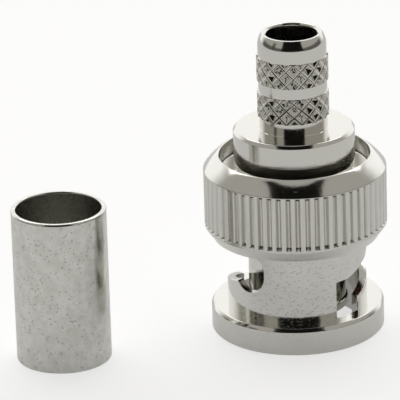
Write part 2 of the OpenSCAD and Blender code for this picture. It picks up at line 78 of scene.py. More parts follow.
class Solid:
    """Collects points in mm and faces, with the face kind that says how it is shaded."""

    def __init__(self):
        self.points = []
        self.faces = []
        self.kinds = []

    def add(self, pts):
        start = len(self.points)
        self.points.extend([tuple(p) for p in pts])
        return list(range(start, start + len(pts)))

    def face(self, ids, kind="smooth"):
        self.faces.append(list(ids))
        self.kinds.append(kind)

    def grid(self, rows, closed=True, kind="smooth", union_jack=None):
        """Joins rows of points, all of one length, by quads, or by triangles where union_jack says so."""
        ids = [self.add(r) for r in rows]
        n = len(rows[0])
        for j in range(len(rows) - 1):
            for i in range(n if closed else n - 1):
                k = (i + 1) % n
                a, b, c, d = ids[j][i], ids[j][k], ids[j + 1][k], ids[j + 1][i]
                if union_jack and union_jack[j] is not None:
                    if (i + union_jack[j]) % 2:
                        self.face((a, b, d), kind)
                        self.face((b, c, d), kind)
                    else:
                        self.face((a, b, c), kind)
                        self.face((a, c, d), kind)
                else:
                    self.face((a, b, c, d), kind)
        return ids

    def patch(self, loops, spacing, place, kind, flip=False):
        """Fills a flat region, bounded by loops, with triangles, and puts it in space with place(u, v)."""
        pts, edges = [], []
        for loop in loops:
            s = len(pts)
            pts += [Vector(p) for p in loop]
            edges += [(s + i, s + (i + 1) % len(loop)) for i in range(len(loop))]
        lo = [min(p[k] for p in pts) for k in (0, 1)]
        hi = [max(p[k] for p in pts) for k in (0, 1)]
        if spacing:
            arr = np.array([p[:] for p in pts])
            for i, u in enumerate(np.arange(lo[0] + spacing[0] / 2, hi[0], spacing[0])):
                for v in np.arange(lo[1] + spacing[1] / (2 if i % 2 else 1), hi[1], spacing[1]):
                    if np.min((arr[:, 0] - u) ** 2 + (arr[:, 1] - v) ** 2) > (0.45 * min(spacing)) ** 2:
                        pts.append(Vector((u, v)))
        out = delaunay_2d_cdt(pts, edges, [], 0, 1e-7)
        flat = np.array([p[:] for p in out[0]])
        tris = np.array([f for f in out[2] if len(f) == 3])
        mid = flat[tris].mean(axis=1)
        inside = np.zeros(len(tris), bool)
        for loop in loops:
            for (x0, y0), (x1, y1) in zip(loop, loop[1:] + loop[:1]):
                if y0 != y1:
                    crossed = ((mid[:, 1] > y0) != (mid[:, 1] > y1)) & (
                        mid[:, 0] < x0 + (x1 - x0) * (mid[:, 1] - y0) / (y1 - y0))
                    inside ^= crossed
        ids = self.add([place(p.x, p.y) for p in out[0]])
        for f in tris[inside]:
            f = [ids[i] for i in f]
            self.face(f[::-1] if flip else f, kind)

    def build(self, name, body, replaced=(), sharp=32.0, move=(0, 0, 0)):
        mesh = bpy.data.meshes.new(name)
        pts = (np.array(self.points, float) + np.array(move)) * MM
        mesh.from_pydata([tuple(p) for p in pts], [], self.faces)
        layer = mesh.attributes.new("kind", "INT", "FACE")
        order = {"smooth": 0, "outer": 1, "inner": 2, "up": 3, "down": 4}
        layer.data.foreach_set("value", [order[k] for k in self.kinds])
        bm = bmesh.new()
        bm.from_mesh(mesh)
        bmesh.ops.remove_doubles(bm, verts=bm.verts, dist=2e-7)
        bmesh.ops.dissolve_degenerate(bm, dist=1e-8, edges=bm.edges)
        for f in bm.faces:
            f.smooth = True
        for e in bm.edges:
            if len(e.link_faces) == 2:
                a, b = e.link_faces
                turn = math.degrees(a.normal.angle(b.normal, 0.0))
                e.smooth = not (turn > sharp)
        bm.to_mesh(mesh)
        bm.free()
        normals = np.zeros(len(mesh.loops) * 3, np.float32)
        mesh.corner_normals.foreach_get("vector", normals)
        normals = normals.reshape(-1, 3)
        co = np.zeros(len(mesh.vertices) * 3, np.float32)
        mesh.vertices.foreach_get("co", co)
        co = co.reshape(-1, 3)
        radial = co - np.array(move, np.float32) * MM
        radial[:, 2] = 0
        radial /= np.maximum(np.linalg.norm(radial, axis=1, keepdims=True), 1e-9)
        loop_v = np.zeros(len(mesh.loops), np.int32)
        mesh.loops.foreach_get("vertex_index", loop_v)
        kinds = np.zeros(len(mesh.polygons), np.int32)
        mesh.attributes["kind"].data.foreach_get("value", kinds)
        total = np.zeros(len(mesh.polygons), np.int32)
        mesh.polygons.foreach_get("loop_total", total)
        loop_kind = np.repeat(kinds, total)
        normals[loop_kind == 1] = radial[loop_v[loop_kind == 1]]
        normals[loop_kind == 2] = -radial[loop_v[loop_kind == 2]]
        normals[loop_kind == 3] = (0, 0, 1)
        normals[loop_kind == 4] = (0, 0, -1)
        mesh.normals_split_custom_set([tuple(n) for n in normals])
        mesh.attributes.remove(mesh.attributes["kind"])
        mesh.update()
        obj = bpy.data.objects.new(name, mesh)
        scene.collection.objects.link(obj)
        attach(obj, body)
        if replaced:
            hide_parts(*replaced)
        return obj


def polar(angle, r, z):
    t = math.radians(angle)
    return (r * math.sin(t), -r * math.cos(t), z)


def ring(angles, r, z):
    return [polar(a, r, z) for a in angles]


def arc(centre, r, a0, a1, n):
    """Points (r, z) of an arc of a profile, angles in degrees from outward, towards up."""
    return [(centre[0] + r * math.cos(math.radians(a0 + (a1 - a0) * i / n)),
             centre[1] + r * math.sin(math.radians(a0 + (a1 - a0) * i / n))) for i in range(n + 1)]


def fine(profile, step):
    """Adds points to a profile so that no stretch is longer than step."""
    out = [profile[0]]
    for a, b in zip(profile, profile[1:]):
        n = max(1, math.ceil(math.dist(a, b) / step))
        out += [(a[0] + (b[0] - a[0]) * i / n, a[1] + (b[1] - a[1]) * i / n) for i in range(1, n + 1)]
    return out


def softened(profile, size):
    """Rounds the corners of a profile with a small chamfer-like fillet of three points."""
    out = []
    n = len(profile)
    for i, p in enumerate(profile):
        if i in (0, n - 1):
            out.append(p)
            continue
        a, b = profile[i - 1], profile[i + 1]
        la, lb = math.dist(p, a), math.dist(p, b)
        s = min(size, la * 0.4, lb * 0.4)
        u = ((a[0] - p[0]) / la, (a[1] - p[1]) / la)
        w = ((b[0] - p[0]) / lb, (b[1] - p[1]) / lb)
        if u[0] * w[0] + u[1] * w[1] < -0.97:
            out.append(p)
            continue
        q0 = (p[0] + u[0] * s, p[1] + u[1] * s)
        q1 = (p[0] + w[0] * s, p[1] + w[1] * s)
        for t in (0.0, 0.33, 0.67, 1.0):
            k = 1 - t
            out.append((k * k * q0[0] + 2 * k * t * p[0] + t * t * q1[0],
                        k * k * q0[1] + 2 * k * t * p[1] + t * t * q1[1]))
    return out

# ---------------------------------------------------------------- coupling nut

GROOVES = 60
PITCH = 360.0 / GROOVES
GROOVE_H = 0.28
GROOVE_SHARE = 0.56
GROOVE_FLOOR_W = 0.13
REAR_END_SLOPE = 3
FRONT_END_SLOPE = 1.28
GROOVE_TOP_HALF = PITCH * GROOVE_SHARE / 2
GROOVE_FLOOR_HALF = math.degrees(GROOVE_FLOOR_W / 2 / GRIP_R)
COLUMN_STEPS = [-2.3, -1.8, -1.6, -1.1, -0.62, -0.42, 0, 0.42, 0.62, 1.1, 1.6, 1.8, 2.3, 3.0]
FIRST_GROOVE = 90.0   # a groove's middle lies on +X
columns = [FIRST_GROOVE + i * PITCH + s for i in range(GROOVES) for s in COLUMN_STEPS]
COARSE_STEP = 3
coarse = columns[::COARSE_STEP]


def smooth_min(a, b, k):
    return (a + b - math.sqrt((a - b) ** 2 + k * k)) / 2


def groove_depth(step, z):
    """Depth of the knurl at an angle from the groove's middle, with sloped ends."""
    across = (GROOVE_TOP_HALF - abs(step)) / (GROOVE_TOP_HALF - GROOVE_FLOOR_HALF) * GROOVE_H
    across = smooth_min(across, GROOVE_H, 0.03)
    ends = min(REAR_END_SLOPE * (GRIP_TOP - REAR_LAND - z), FRONT_END_SLOPE * (z - GRIP_BOTTOM - FRONT_LAND))
    return max(0.0, smooth_min(across, ends, 0.015))


def column_shift(i):
    """Small irregularity of each rolled ridge, the same on every run."""
    return 0.02 * math.sin(i * 2.399) + 0.012 * math.sin(i * 5.13 + 1.0)


nut = Solid()


def grip_row(z):
    row = []
    for i in range(GROOVES):
        for s in COLUMN_STEPS:
            d = groove_depth(s + column_shift(i) * 4, z)
            ridge = column_shift(i) * 0.25 if d < 0.05 and abs(s) > 1.75 else 0.0
            row.append(polar(FIRST_GROOVE + i * PITCH + s, GRIP_R - d + min(0.0, ridge), z))
    return row


BEVEL_SWELL = 0.07
BEVEL_STEPS = 10
bevel_end = RECESS_R + LIP_W
chord = math.dist((GRIP_R, GRIP_TOP), (bevel_end, NUT_L))
bevel = []
for i in range(BEVEL_STEPS + 1):
    t = i / BEVEL_STEPS
    bump = BEVEL_SWELL * 4 * t * (1 - t)
    bevel.append((GRIP_R + (bevel_end - GRIP_R) * t + bump * (NUT_L - GRIP_TOP) / chord,
                  GRIP_TOP + (NUT_L - GRIP_TOP) * t + bump * (GRIP_R - bevel_end) / chord))
foot = GRIP_BOTTOM + FRONT_LAND
head = GRIP_TOP - REAR_LAND
grip_z = ([foot - 0.02, foot] + [foot + v for v in (0.03, 0.07, 0.11, 0.15, 0.19, 0.22, 0.25)]
          + [foot + 0.3 + (head - 0.55 - foot) * i / 8 for i in range(9)]
          + [head - v for v in (0.2, 0.15, 0.1, 0.06, 0.04, 0.02, 0.01, 0.0)])
lower = softened([(UNDER_R - 0.16, UNDER_Z), (UNDER_R, UNDER_Z), (UNDER_R, UNDER_Z + 0.06),
                  (GRIP_R, GRIP_BOTTOM), (GRIP_R, GRIP_BOTTOM + 0.15)], 0.03)
upper = (softened([(GRIP_R, GRIP_TOP - 0.03), bevel[0], bevel[1]], 0.03)[:-1] + bevel[1:-1]
         + [(bevel_end, NUT_L - 0.012), (bevel_end - 0.03, NUT_L), (RECESS_R + 0.03, NUT_L)]
         + [(RECESS_R, NUT_L - 0.03)]
         + fine([(RECESS_R, NUT_L - 0.1), (RECESS_R, WEB_REAR + 0.12)], 0.3)
         + arc((RECESS_R - 0.12, WEB_REAR + 0.12), 0.12, 0, -90, 4)[1:]
         + [(WEB_BORE_R + 0.6, WEB_REAR), (WEB_BORE_R + 0.03, WEB_REAR), (WEB_BORE_R, WEB_REAR - 0.03),
            (WEB_BORE_R, WEB_FRONT + 0.03), (WEB_BORE_R + 0.03, WEB_FRONT)])
rows = ([ring(columns, r, z) for r, z in lower[:-1]] + [grip_row(z) for z in grip_z]
        + [ring(columns, r, z) for r, z in upper])
ids = nut.grid(rows)


def coarsen(full, part, flip):
    """Joins a full row to one with a third of its points, both in one plane that faces down."""
    n = len(full)
    for k in range(len(part)):
        i = k * COARSE_STEP
        f = [part[k], part[(k + 1) % len(part)]] + [full[(i + j) % n] for j in range(COARSE_STEP, -1, -1)]
        nut.face(f[::-1] if flip else f, "down")


# the plane under the grip, and the web's front plane
under_ring = nut.add(ring(coarse, SLEEVE_R, UNDER_Z))
coarsen(ids[0], under_ring, False)
web_ring = nut.add(ring(coarse, BORE_R, WEB_FRONT))
coarsen(ids[-1], web_ring, True)
nut.grid([ring(coarse, BORE_R, z) for z in (WEB_FRONT, 11.0, 9.5, UNDER_Z)], kind="inner")

# the bayonet slots
ENTRY = 44.9
SLOT_W = 2.38
ENTRY_TOP = 5.25
SLOT_TOP = 7.55
REAR_CLIMB = 2.55
RAMP_START = 3.36
RAMP_CLIMB = 2.3
SLOT_HALF = math.degrees(SLOT_W / 2 / SLEEVE_R)
ENTRY_L, ENTRY_R = ENTRY - SLOT_HALF, ENTRY + SLOT_HALF
PER_DEG = math.radians(SLEEVE_R)
DETENT_TURN = 89.1
DETENT = ENTRY + DETENT_TURN
DETENT_R = 1.56
DETENT_FLOOR = 4.37
DETENT_Z = DETENT_FLOOR + DETENT_R
SLOT_END = DETENT + DETENT_R / PER_DEG
CORNER_R = 1.1
CORNER = SLOT_END - CORNER_R / PER_DEG
CORNER_Z = DETENT_Z + 0.4 * CORNER_R
HUMP_TURN = 14.5
HUMP = DETENT - HUMP_TURN
FADE = 12.0
ENTRY_GROOVE_DEPTH = 0.07
GROOVE_R = SLEEVE_R + ENTRY_GROOVE_DEPTH
WALL_RADII = (SLEEVE_R - 0.2, SLEEVE_R - 0.4, BORE_R)


def round_floor(a, a0, z0, r):
    return z0 - math.sqrt(max(0.0, r * r - ((a - a0) * PER_DEG) ** 2))


def front_edge(a):
    if a > DETENT:
        return round_floor(a, DETENT, DETENT_Z, DETENT_R)
    ramp = RAMP_START + RAMP_CLIMB / 90 * (a - ENTRY_R)
    bowl = round_floor(a, DETENT, DETENT_Z, DETENT_R) + (1 if a < DETENT - DETENT_R / PER_DEG else 0)
    return smooth_min(ramp, bowl, 0.12)


def rear_edge(a):
    climb = min(SLOT_TOP, ENTRY_TOP + REAR_CLIMB / 90 * max(0.0, a - ENTRY))
    if a > CORNER:
        return min(climb, 2 * CORNER_Z - round_floor(a, CORNER, CORNER_Z, CORNER_R))
    return climb


def off_axis(a):
    if a <= ENTRY_R:
        return a - ENTRY
    if a < ENTRY_R + FADE:
        return SLOT_HALF * (1 - (a - ENTRY_R) / FADE)
    if a < HUMP - FADE:
        return 0.0
    if a < HUMP:
        return (HUMP - DETENT) * (a - HUMP + FADE) / FADE
    return a - DETENT


def on_wall(a, r):
    """Angle of the slot's wall at radius r, where it lies at angle a on the sleeve's skin."""
    m = off_axis(a)
    return a - m + math.degrees(math.asin(SLEEVE_R * math.sin(math.radians(m)) / r))


def slot_loop():
    """Angle and height of points round the slot, from the entry's left foot to its right foot."""
    pts = [(ENTRY_L, FLANGE_T + (rear_edge(ENTRY_L) - FLANGE_T) * i / 12) for i in range(13)]
    for a in np.arange(ENTRY_L + 1.5, SLOT_END - 16, 2.0):
        pts.append((a, rear_edge(a)))
    for i in range(11):
        t = math.pi / 2 * i / 10
        pts.append((CORNER + CORNER_R / PER_DEG * math.sin(t), CORNER_Z + CORNER_R * math.cos(t)))
    pts = [p for p in pts if p[0] <= CORNER or p[1] <= rear_edge(CORNER) + 1e-6]
    for i in range(1, 22):
        t = math.radians(95) * i / 21
        a = DETENT + DETENT_R / PER_DEG * math.cos(t)
        pts.append((a, DETENT_Z - DETENT_R * math.sin(t)))
    for a in np.arange(DETENT - 2.0, HUMP - 8, -0.8):
        pts.append((a, front_edge(a)))
    for a in np.arange(HUMP - 9.5, ENTRY_R + 0.8, -2.0):
        pts.append((a, front_edge(a)))
    foot = front_edge(ENTRY_R)
    pts += [(ENTRY_R, foot)] + [(ENTRY_R, foot + (FLANGE_T - foot) * i / 6) for i in range(1, 7)]
    return pts


loop = slot_loop()
EDGE = 0.045


def edge_size(z):
    return EDGE * min(1.0, max(0.0, (z - FLANGE_T) / 0.15))


def pushed(pts):
    """The same loop moved into the metal, as far as the slot's outer edge is broken."""
    out = []
    for i, (a, z) in enumerate(pts):
        p = pts[max(0, i - 1)]
        q = pts[min(len(pts) - 1, i + 1)]
        du, dv = (q[0] - p[0]) * PER_DEG, q[1] - p[1]
        size = math.hypot(du, dv) or 1.0
        c = edge_size(z)
        out.append((a - dv / size * c / PER_DEG, z + du / size * c))
    return out


wide = pushed(loop)
ARC_STEPS = 10


def groove_sweep(turn):
    """Angles across the outer wall of an entry groove."""
    g0, g1 = on_wall(ENTRY_L, GROOVE_R), on_wall(ENTRY_R, GROOVE_R)
    return [g0 + (g1 - g0) * i / ARC_STEPS + turn for i in range(ARC_STEPS + 1)]


for turn in (0.0, 180.0):
    strips = [[polar(a + turn, SLEEVE_R, z) for a, z in wide]]
    broken = [(a, z, SLEEVE_R - edge_size(z)) for a, z in loop]
    strips.append([polar(on_wall(a, r) + turn, r, z) for a, z, r in broken])
    for r in WALL_RADII:
        strips.append([polar(on_wall(a, r) + turn, r, z) for a, z in loop])
    nut.grid(strips[::-1], closed=False)
    # the groove inside the flange
    for side, flip in ((ENTRY_L, False), (ENTRY_R, True)):
        rs = (GROOVE_R, SLEEVE_R, *WALL_RADII)
        pair = [[polar(on_wall(side, r) + turn, r, z) for r in rs] for z in (0.0, FLANGE_T)]
        nut.grid(pair if not flip else pair[::-1], closed=False)
    across = groove_sweep(turn)
    nut.grid([ring(across, GROOVE_R, FLANGE_T), ring(across, GROOVE_R, 0.0)], closed=False)


def circle_between(foot_l, foot_r):
    """Angles round the sleeve from 0 to 360; each slot's entry is a mark ("entry", number)."""
    turns = sorted(c % 360.0 for c in coarse)
    out, last = [], -1.0
    for k in (0, 1):
        lo, hi = foot_l + 180.0 * k, foot_r + 180.0 * k
        out += [c for c in turns if last + 0.15 < c < lo - 0.15] + [lo, ("entry", k), hi]
        last = hi
    return out + [c for c in turns if c > last + 0.15]


def sleeve_outline(loop_pts, bottom, top, foot_l, foot_r):
    """One closed outline, unrolled: the bottom edge with the slots' loops in it, and the top edge."""
    outline = []
    for m in circle_between(foot_l, foot_r):
        if isinstance(m, tuple):
            outline += [(a + 180.0 * m[1], z) for a, z in loop_pts]
        else:
            outline.append((m, bottom))
    tops = sorted(c % 360.0 for c in coarse)
    outline += [(360.0, bottom), (360.0, top)] + [(t, top) for t in reversed(tops)]
    clean = []
    for p in outline:
        if not clean or math.dist(p, clean[-1]) > 1e-6:
            clean.append(p)
    return clean


def unrolled(outline, radius):
    k = math.radians(radius)
    return [(a * k, z) for a, z in outline]


def on_cylinder(radius):
    k = math.radians(radius)
    return lambda u, v: polar(u / k, radius, v)


outer = sleeve_outline(wide, FLANGE_T, UNDER_Z, ENTRY_L, ENTRY_R)
SLEEVE_GRID = (0.4, 0.4)
nut.patch([unrolled(outer, SLEEVE_R)], SLEEVE_GRID, on_cylinder(SLEEVE_R), "outer")
inner_loop = [(on_wall(a, BORE_R), z) for a, z in loop]
foot_l, foot_r = on_wall(ENTRY_L, BORE_R), on_wall(ENTRY_R, BORE_R)
inner = sleeve_outline([(foot_l, 0.0)] + inner_loop + [(foot_r, 0.0)], 0.0, UNDER_Z, foot_l, foot_r)
nut.patch([unrolled(inner, BORE_R)], SLEEVE_GRID, on_cylinder(BORE_R), "inner", flip=True)

# the flange
FLANGE_FACE_R = FLANGE_R - 0.4
flange = softened([(FLANGE_FACE_R, 0.0), (FLANGE_R - 0.18, 0.0), (FLANGE_R, 0.18),
                   (FLANGE_R, FLANGE_T - 0.28), (FLANGE_R - 0.17, FLANGE_T), (FLANGE_FACE_R, FLANGE_T)], 0.04)
nut.grid([ring(coarse, r, z) for r, z in fine(flange, 0.6)])


def top_inner():
    pts = []
    for m in circle_between(ENTRY_L, ENTRY_R):
        if isinstance(m, tuple):
            pts += [polar(a, GROOVE_R, 0)[:2] for a in groove_sweep(180.0 * m[1])]
        else:
            pts.append(polar(m, SLEEVE_R, 0)[:2])
    return pts


def bottom_inner():
    pts = []
    rs = (*WALL_RADII[::-1], SLEEVE_R)
    for m in circle_between(foot_l, foot_r):
        if isinstance(m, tuple):
            turn = 180.0 * m[1]
            pts += [polar(on_wall(ENTRY_L, r) + turn, r, 0)[:2] for r in rs[1:]]
            pts += [polar(a, GROOVE_R, 0)[:2] for a in groove_sweep(turn)]
            pts += [polar(on_wall(ENTRY_R, r) + turn, r, 0)[:2] for r in rs[:0:-1]]
        else:
            pts.append(polar(m, BORE_R, 0)[:2])
    return pts


def rim(r):
    return [polar(a, r, 0)[:2] for a in coarse]


FACE_GRID = (0.6, 0.6)
nut.patch([rim(FLANGE_FACE_R), top_inner()[::-1]], FACE_GRID, lambda u, v: (u, v, FLANGE_T), "up")
nut.patch([rim(FLANGE_FACE_R), bottom_inner()[::-1]], FACE_GRID, lambda u, v: (u, v, 0.0), "down", flip=True)
nut_obj = nut.build("nut_shell", "nut", ["coupling_nut"])

# ---------------------------------------------------------------- rear body

ROUND = [float(a) for a in range(360)]
STEM_R = 2.71
BAND_R = 2.83
SHOULDER_R = 4.81
FOOT_GAP = 0.03
FOOT_Z = WEB_REAR + FOOT_GAP
FOOT_AND_RELIEF_H = 0.75
SHOULDER_Z = FOOT_Z + FOOT_AND_RELIEF_H
SHOULDER_H = 2.91
SHOULDER_TOP = SHOULDER_Z + SHOULDER_H
STEM_L = 7.83
STEM_END = SHOULDER_TOP + STEM_L
STEM_BORE_R = 2.025
STEM_BORE_L = 9.0
TAIL_L = 2.0
TAIL_END = FOOT_Z + TAIL_L
NOSE_R = 2.38
NOSE_L = 0.82
NOSE_SWELL = 0.05
NOSE_STEPS = 12
BAND_1_GAP = 1.02
BAND_1_H = 2.01
BAND_1_PHASE = 0.05
BAND_2_GAP = 0.92
BAND_2_H = 2.05
BAND_2_PHASE = -0.27
PIT_COUNT = 15
PIT_STEP = 360.0 / PIT_COUNT
LATTICE = 24   # steps of the knurl's mesh in one pitch
PIT_PITCH = 1.17
PIT_DEPTH = 0.33
RIB_DISH = 0.03
PIT_HALF = 9 / LATTICE
PIT_SHIFT = 0.1
BAND_1_TOP = STEM_END - NOSE_L - BAND_1_GAP
BAND_2_TOP = BAND_1_TOP - BAND_1_H - BAND_2_GAP


def pit_depth(angle, z, first):
    """Depth of the diamond knurl: four-sided pits between crossing ribs, whose tops are dished."""
    u, w = angle / PIT_STEP, (z - first) / PIT_PITCH
    i, j = math.floor(u + w), math.floor(u - w)
    p, q = u + w - i - 0.5, u - w - j - 0.5
    m = max(abs(p), abs(q))
    if m > PIT_HALF:
        return RIB_DISH * min(1.0, max(0.0, (m * LATTICE - 10) / 2))
    # each pit's deepest point lies a little off its middle, as the knurling wheels leave it
    i, j = i % (2 * PIT_COUNT), j % (2 * PIT_COUNT)
    a = PIT_SHIFT * math.sin(i * 2.4 + j * 1.3)
    b = PIT_SHIFT * math.sin(i * 1.7 - j * 2.9 + 1.0)
    slope = min((PIT_HALF - p) / (PIT_HALF - a), (PIT_HALF + p) / (PIT_HALF + a),
                (PIT_HALF - q) / (PIT_HALF - b), (PIT_HALF + q) / (PIT_HALF + b))
    return PIT_DEPTH * min(slope, 0.94)


rear = Solid()
rear_rows = []
jack = []


def rear_add(profile):
    for r, z in profile:
        rear_rows.append(ring(ROUND, r, z))
        jack.append(None)


def rear_band(top, height, phase):
    first = top + phase
    step = PIT_PITCH / LATTICE
    low_i = math.ceil((top - height + 0.01 - first) / step)
    high_i = math.floor((top - 0.01 - first) / step)
    between = [(first + i * step, i) for i in range(low_i, high_i + 1)]
    stops = [(top - height, low_i - 1)] + between + [(top, None)]
    for z, i in stops:
        rear_rows.append([polar(a, BAND_R - pit_depth(a, z, first), z) for a in ROUND])
        jack.append(i)


bottom = fine([(3.42, FOOT_Z), (4.42, FOOT_Z)], 0.5) + [(4.45, FOOT_Z + 0.03), (4.45, FOOT_Z + 0.4)]
rear_add(bottom + [(4.69, FOOT_Z + 0.4), (4.69, FOOT_Z + 0.68)])
rear_add([(4.70, FOOT_Z + 0.7), (4.76, SHOULDER_Z), (4.795, SHOULDER_Z + 0.03)])
rear_add([(SHOULDER_R, SHOULDER_Z + 0.08)])
rear_add(fine([(SHOULDER_R, SHOULDER_Z + 0.1), (SHOULDER_R, SHOULDER_TOP - 0.29)], 0.4))
rear_add(softened([(SHOULDER_R, SHOULDER_TOP - 0.28), (SHOULDER_R, SHOULDER_TOP - 0.25),
                   (SHOULDER_R - 0.22, SHOULDER_TOP), (SHOULDER_R - 0.4, SHOULDER_TOP)], 0.05)[1:])
rear_add(fine([(SHOULDER_R - 0.5, SHOULDER_TOP), (STEM_R + 0.06, SHOULDER_TOP)], 0.5))
rear_add([(STEM_R + 0.02, SHOULDER_TOP + 0.015), (STEM_R, SHOULDER_TOP + 0.06)])
band_1_foot = BAND_1_TOP - BAND_1_H
band_2_foot = BAND_2_TOP - BAND_2_H
rear_add([(STEM_R, SHOULDER_TOP + 0.4), (STEM_R, band_2_foot - 0.03), (STEM_R, band_2_foot)])
rear_band(BAND_2_TOP, BAND_2_H, BAND_2_PHASE)
rear_add([(STEM_R, z) for z in (BAND_2_TOP, BAND_2_TOP + 0.03, BAND_2_TOP + 0.45)])
rear_add([(STEM_R, z) for z in (band_1_foot - 0.03, band_1_foot)])
rear_band(BAND_1_TOP, BAND_1_H, BAND_1_PHASE)
rear_add([(STEM_R, z) for z in (BAND_1_TOP, BAND_1_TOP + 0.03, BAND_1_TOP + 0.5, STEM_END - NOSE_L - 0.02)])
for i in range(1, NOSE_STEPS + 1):
    t = i / NOSE_STEPS
    bump = NOSE_SWELL * 4 * t * (1 - t)
    rear_add([(STEM_R + (NOSE_R - STEM_R) * t + bump * 0.92, STEM_END - NOSE_L * (1 - t) + bump * 0.38)])
rear_add([(NOSE_R - 0.03, STEM_END), (STEM_BORE_R + 0.17, STEM_END), (STEM_BORE_R + 0.13, STEM_END - 0.015),
          (STEM_BORE_R + 0.01, STEM_END - 0.13), (STEM_BORE_R, STEM_END - 0.16)])
rear_add([(STEM_BORE_R, STEM_END - v) for v in (0.5, 1.5, 3.0, 5.0, 7.0, STEM_BORE_L)])
rear_add([(2.58, STEM_END - STEM_BORE_L), (2.58, TAIL_END + 0.02)])
rear_add([(3.42, TAIL_END + 0.02), (3.42, FOOT_Z + 1.0), (3.42, FOOT_Z)])
rear.grid(rear_rows, union_jack=jack)
rear_obj = rear.build("rear_shell", "plug", ["rear_body"], sharp=20.0)

# ---------------------------------------------------------------- front body with its slotted contact

CONTACT_Z = 1.89
CONTACT_R = 3.85
CONTACT_IN = 3.45
CUT_TOP = CONTACT_Z + 5.0
CUT_HALF = 0.225
FINGER_STEPS = 40
SEAT_R = 4.05
BODY_FLANGE_R = 4.75
BODY_FLANGE_Z = 10.64
BODY_FLANGE_T = 0.6
NECK_R = 4.10
NECK_END = 13.18
TAIL_R = 3.4
TAIL_IN = 2.6
contact = Solid()
contact_profile = ([(CONTACT_IN, CUT_TOP), (CONTACT_IN, 4.0), (CONTACT_IN, CONTACT_Z + 0.03)]
                   + [(CONTACT_IN + 0.03, CONTACT_Z), (3.86, CONTACT_Z)]
                   + arc((3.88, CONTACT_Z + 0.15), 0.15, -80, 0, 5)
                   + [(4.03, CONTACT_Z + 0.58), (4.02, CONTACT_Z + 0.62), (3.86, CONTACT_Z + 0.77)]
                   + [(CONTACT_R, CONTACT_Z + 0.8), (CONTACT_R, 5.0), (CONTACT_R, CUT_TOP)])
BODY_FLANGE_END = BODY_FLANGE_Z + BODY_FLANGE_T
contact_rest = [(CONTACT_R, 8.7), (CONTACT_R + 0.01, 8.75), (SEAT_R - 0.01, 8.93), (SEAT_R, 8.96),
                (SEAT_R, BODY_FLANGE_Z), (BODY_FLANGE_R, BODY_FLANGE_Z), (BODY_FLANGE_R, BODY_FLANGE_END),
                (NECK_R, BODY_FLANGE_END), (NECK_R, NECK_END), (TAIL_R, NECK_END), (TAIL_R, TAIL_END),
                (TAIL_IN, TAIL_END), (TAIL_IN, 9.91), (CONTACT_IN, 9.91), (CONTACT_IN, 8.4),
                (CONTACT_IN, CUT_TOP)]


def contact_row(r, z):
    row = []
    trim = math.degrees(math.asin(CUT_HALF / r))
    for q in range(4):
        a0, a1 = q * 90 + trim, (q + 1) * 90 - trim
        row += [polar(a0 + (a1 - a0) * i / FINGER_STEPS, r, z) for i in range(FINGER_STEPS + 1)]
    return row


finger_ids = [contact.add(contact_row(r, z)) for r, z in contact_profile]
per = FINGER_STEPS + 1
for a, b in zip(finger_ids, finger_ids[1:]):
    for q in range(4):
        for i in range(FINGER_STEPS):
            k = q * per + i
            contact.face((a[k], a[k + 1], b[k + 1], b[k]))
for q in range(4):
    start, end = q * per, q * per + FINGER_STEPS
    contact.face([row[start] for row in finger_ids])
    contact.face([row[end] for row in finger_ids][::-1])
    nxt = (end + 1) % (4 * per)
    contact.face((finger_ids[0][nxt], finger_ids[0][end], finger_ids[-1][end], finger_ids[-1][nxt]))
contact.grid([contact_row(*contact_profile[-1])] + [contact_row(r, z) for r, z in contact_rest])
contact_obj = contact.build("contact_shell", "plug", ["front_body"])

# ---------------------------------------------------------------- crimp ferrule

FERRULE_R = 3.75
FERRULE_IN = 3.37
FERRULE_L = 12.58
FERRULE_AT = (-18.66, -5.19)
ferrule = Solid()
turns = [1.5 * i for i in range(240)]
skin = ([(FERRULE_IN, 0.0), (FERRULE_R - 0.16, 0.0)] + arc((FERRULE_R - 0.16, 0.16), 0.16, -90, 0, 6)[1:]
        + fine([(FERRULE_R, 0.2), (FERRULE_R, FERRULE_L - 0.25)], 0.6)
        + arc((FERRULE_R - 0.2, FERRULE_L - 0.2), 0.2, 0, 90, 10)
        + [(FERRULE_IN + 0.1, FERRULE_L), (FERRULE_IN + 0.065, FERRULE_L - 0.01)]
        + [(FERRULE_IN + 0.01, FERRULE_L - 0.07), (FERRULE_IN, FERRULE_L - 0.1)]
        + fine([(FERRULE_IN, FERRULE_L - 0.3), (FERRULE_IN, 0.0)], 1.0))
ferrule.grid([ring(turns, r, z) for r, z in skin])
ferrule_obj = ferrule.build("ferrule_shell", "nut", ["crimp_ferrule"],
                            move=(*FERRULE_AT, 0.0))

# ---------------------------------------------------------------- shader helpers


